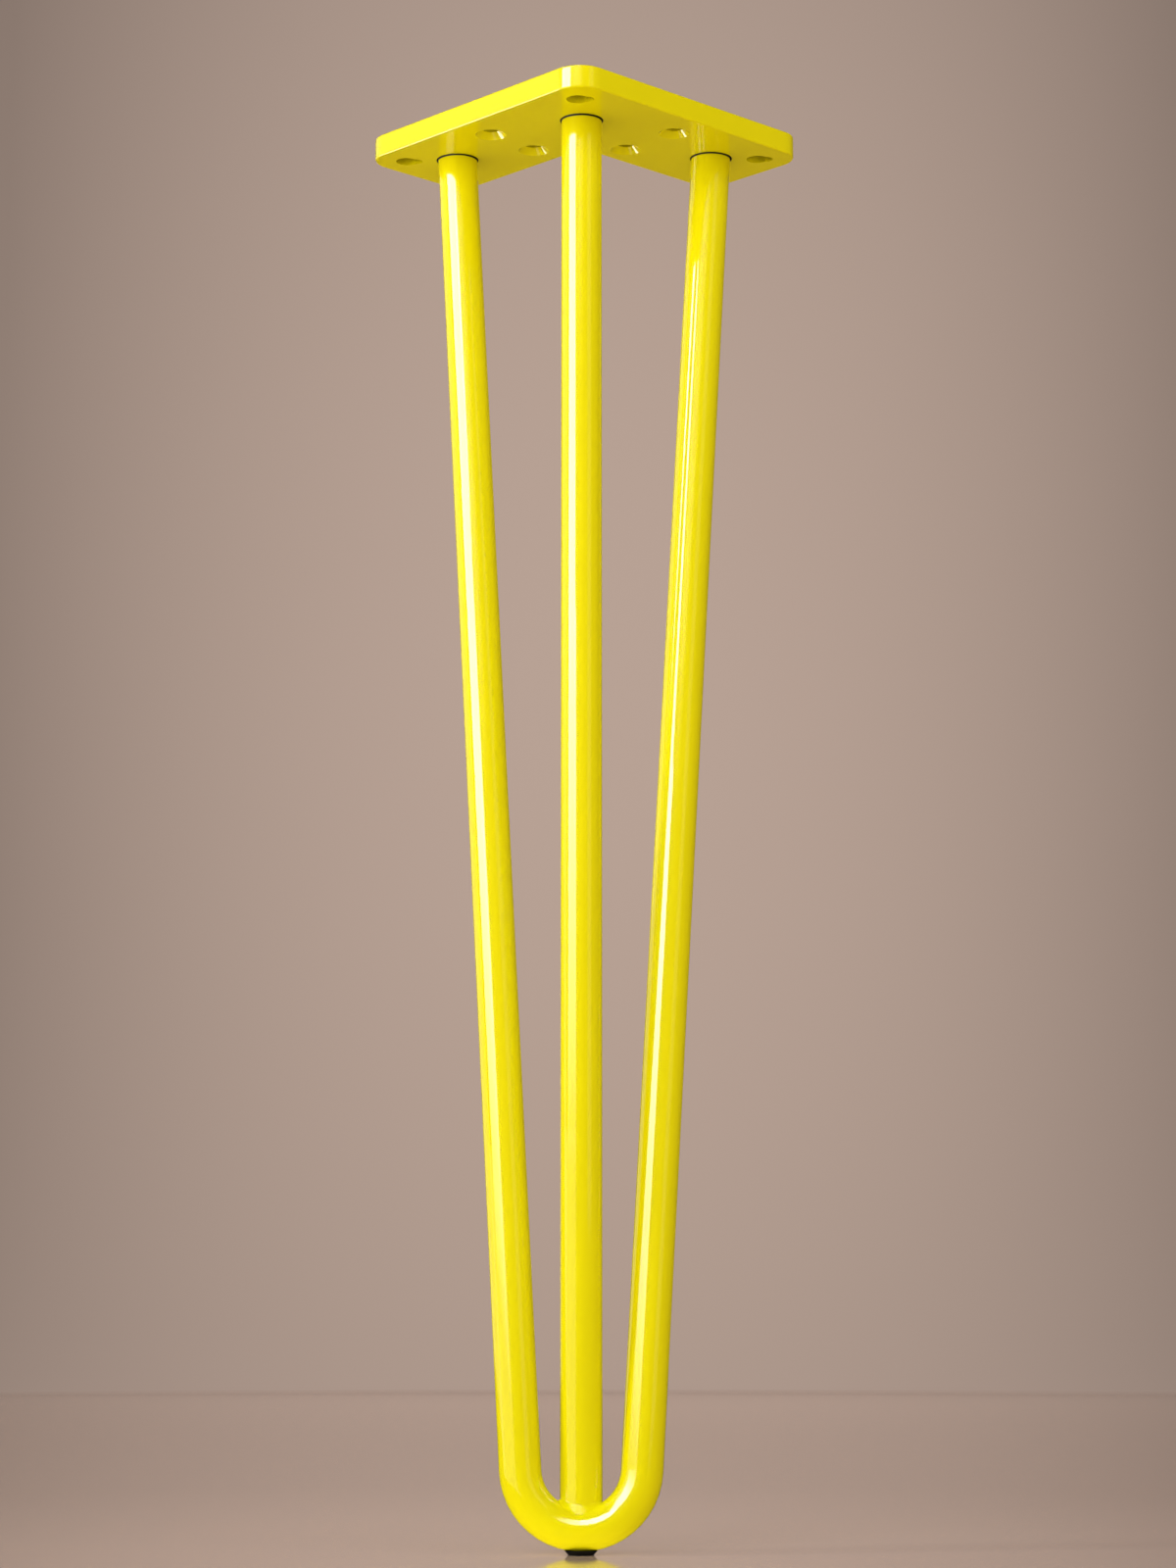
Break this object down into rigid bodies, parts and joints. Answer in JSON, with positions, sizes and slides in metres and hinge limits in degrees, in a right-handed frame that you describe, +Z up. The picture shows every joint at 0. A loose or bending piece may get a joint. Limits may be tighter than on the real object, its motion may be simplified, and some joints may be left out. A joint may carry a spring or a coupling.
{
  "type": "hairpin table leg",
  "caption": "Steel rod hairpin leg with an L-shaped mounting plate and a small rubber foot, powder coated yellow.",
  "frame": {"origin": "where the straight rod's axis meets the plate's top face, which goes against the table top", "axes": "+Z up along the straight rod, -Y towards the plate's outer corner (the picture's front), +X to the right seen from the front"},
  "size_m": [0.1234, 0.086, 0.4064],
  "materials": {
    "plate_coat": "glossy lemon-yellow powder coat",
    "rod_coat": "glossy lemon-yellow powder coat",
    "weld_coat": "glossy lemon-yellow powder coat",
    "foot_rubber": "satin black rubber"
  },
  "bodies": {
    "root": {"mounting_plate": "plate_coat", "bent_rod": "rod_coat", "centre_rod": "rod_coat", "weld_centre": "weld_coat", "weld_left": "weld_coat", "weld_right": "weld_coat", "foot_weld": "weld_coat", "foot_pad": "foot_rubber"}
  },
  "joints": []
}
